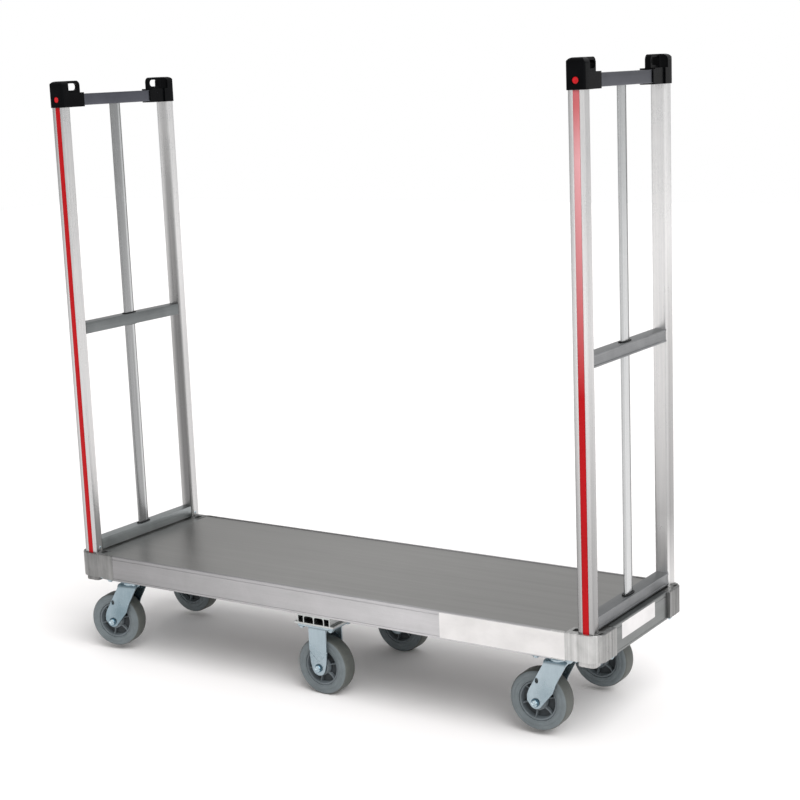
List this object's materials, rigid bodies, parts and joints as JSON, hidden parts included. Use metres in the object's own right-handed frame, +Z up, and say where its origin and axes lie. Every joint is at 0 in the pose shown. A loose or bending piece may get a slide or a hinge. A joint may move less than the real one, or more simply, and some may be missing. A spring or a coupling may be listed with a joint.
{
  "type": "platform truck",
  "caption": "Long aluminium platform truck on caster wheels, with a flat deck in extruded rails and a tall open lift-out frame at each end.",
  "frame": {"origin": "on the floor under the middle of the deck, at the height of the middle wheels' lowest points", "axes": "+X along the deck towards the right end, +Y across the deck towards the rear rail, +Z up"},
  "size_m": [1.638, 0.4734, 1.604],
  "materials": {
    "aluminium": "satin extruded",
    "deck": "brushed sheet",
    "cast": "fine cast, matt",
    "bar": "dark satin extruded",
    "zinc": "bright zinc plated, pressed",
    "black": "moulded, faint sheen",
    "red": "moulded strip",
    "rubber": "moulded non-marking rubber",
    "hub": "moulded, ribbed"
  },
  "bodies": {
    "platform": {"deck_sheet": "deck", "side_rail_front": "aluminium", "side_rail_rear": "aluminium", "end_rail_left": "aluminium", "end_rail_right": "aluminium", "corner_casting_front_left": "cast", "corner_casting_front_right": "cast", "corner_casting_rear_left": "cast", "corner_casting_rear_right": "cast", "cross_member_left": "aluminium", "cross_member_right": "aluminium", "riser": "aluminium", "caster_plate_front_left": "zinc", "caster_plate_front_right": "zinc", "caster_plate_rear_left": "zinc", "caster_plate_rear_right": "zinc", "caster_fork_front_centre": "zinc", "axle_bolt_front_centre": "zinc", "caster_fork_rear_centre": "zinc", "axle_bolt_rear_centre": "zinc"},
    "frame_left": {"post_front_left": "aluminium", "post_stripe_front_left": "red", "cap_front_left": "black", "post_rear_left": "aluminium", "post_stripe_rear_left": "red", "cap_rear_left": "black", "top_bar_left": "bar", "mid_bar_left": "bar", "bottom_bar_left": "bar", "centre_slat_left": "aluminium"},
    "frame_right": {"post_front_right": "aluminium", "post_stripe_front_right": "red", "cap_front_right": "black", "post_rear_right": "aluminium", "post_stripe_rear_right": "red", "cap_rear_right": "black", "top_bar_right": "bar", "mid_bar_right": "bar", "bottom_bar_right": "bar", "centre_slat_right": "aluminium"},
    "swivel_front_left": {"caster_fork_front_left": "zinc", "axle_bolt_front_left": "zinc"},
    "wheel_front_left": {"wheel_tyre_front_left": "rubber", "wheel_hub_front_left": "hub"},
    "swivel_front_right": {"caster_fork_front_right": "zinc", "axle_bolt_front_right": "zinc"},
    "wheel_front_right": {"wheel_tyre_front_right": "rubber", "wheel_hub_front_right": "hub"},
    "swivel_rear_left": {"caster_fork_rear_left": "zinc", "axle_bolt_rear_left": "zinc"},
    "wheel_rear_left": {"wheel_tyre_rear_left": "rubber", "wheel_hub_rear_left": "hub"},
    "swivel_rear_right": {"caster_fork_rear_right": "zinc", "axle_bolt_rear_right": "zinc"},
    "wheel_rear_right": {"wheel_tyre_rear_right": "rubber", "wheel_hub_rear_right": "hub"},
    "wheel_front_centre": {"wheel_tyre_front_centre": "rubber", "wheel_hub_front_centre": "hub"},
    "wheel_rear_centre": {"wheel_tyre_rear_centre": "rubber", "wheel_hub_rear_centre": "hub"}
  },
  "joints": [
    {"name": "lift_out_left", "type": "slide", "parent": "platform", "child": "frame_left", "axis": [0, 0, 1], "range_m": [0, 0.08]},
    {"name": "lift_out_right", "type": "slide", "parent": "platform", "child": "frame_right", "axis": [0, 0, 1], "range_m": [0, 0.08]},
    {"name": "swivel_turn_front_left", "type": "hinge", "parent": "platform", "child": "swivel_front_left", "pos_m": [-0.681, -0.165, 0.2], "axis": [0, 0, 1], "continuous": true},
    {"name": "wheel_turn_front_left", "type": "hinge", "parent": "swivel_front_left", "child": "wheel_front_left", "pos_m": [-0.7348, -0.17644, 0.0892], "axis": [-0.2079, 0.9781, 0], "continuous": true},
    {"name": "swivel_turn_front_right", "type": "hinge", "parent": "platform", "child": "swivel_front_right", "pos_m": [0.681, -0.165, 0.2], "axis": [0, 0, 1], "continuous": true},
    {"name": "wheel_turn_front_right", "type": "hinge", "parent": "swivel_front_right", "child": "wheel_front_right", "pos_m": [0.62603, -0.16692, 0.0892], "axis": [-0.0349, 0.9994, 0], "continuous": true},
    {"name": "swivel_turn_rear_left", "type": "hinge", "parent": "platform", "child": "swivel_rear_left", "pos_m": [-0.681, 0.165, 0.2], "axis": [0, 0, 1], "continuous": true},
    {"name": "wheel_turn_rear_left", "type": "hinge", "parent": "swivel_rear_left", "child": "wheel_rear_left", "pos_m": [-0.736, 0.165, 0.0892], "axis": [0, 1, 0], "continuous": true},
    {"name": "swivel_turn_rear_right", "type": "hinge", "parent": "platform", "child": "swivel_rear_right", "pos_m": [0.681, 0.165, 0.2], "axis": [0, 0, 1], "continuous": true},
    {"name": "wheel_turn_rear_right", "type": "hinge", "parent": "swivel_rear_right", "child": "wheel_rear_right", "pos_m": [0.626, 0.165, 0.0892], "axis": [0, 1, 0], "continuous": true},
    {"name": "wheel_turn_front_centre", "type": "hinge", "parent": "platform", "child": "wheel_front_centre", "pos_m": [0, -0.1852, 0.0762], "axis": [0, 1, 0], "continuous": true},
    {"name": "wheel_turn_rear_centre", "type": "hinge", "parent": "platform", "child": "wheel_rear_centre", "pos_m": [0, 0.1852, 0.0762], "axis": [0, 1, 0], "continuous": true}
  ]
}
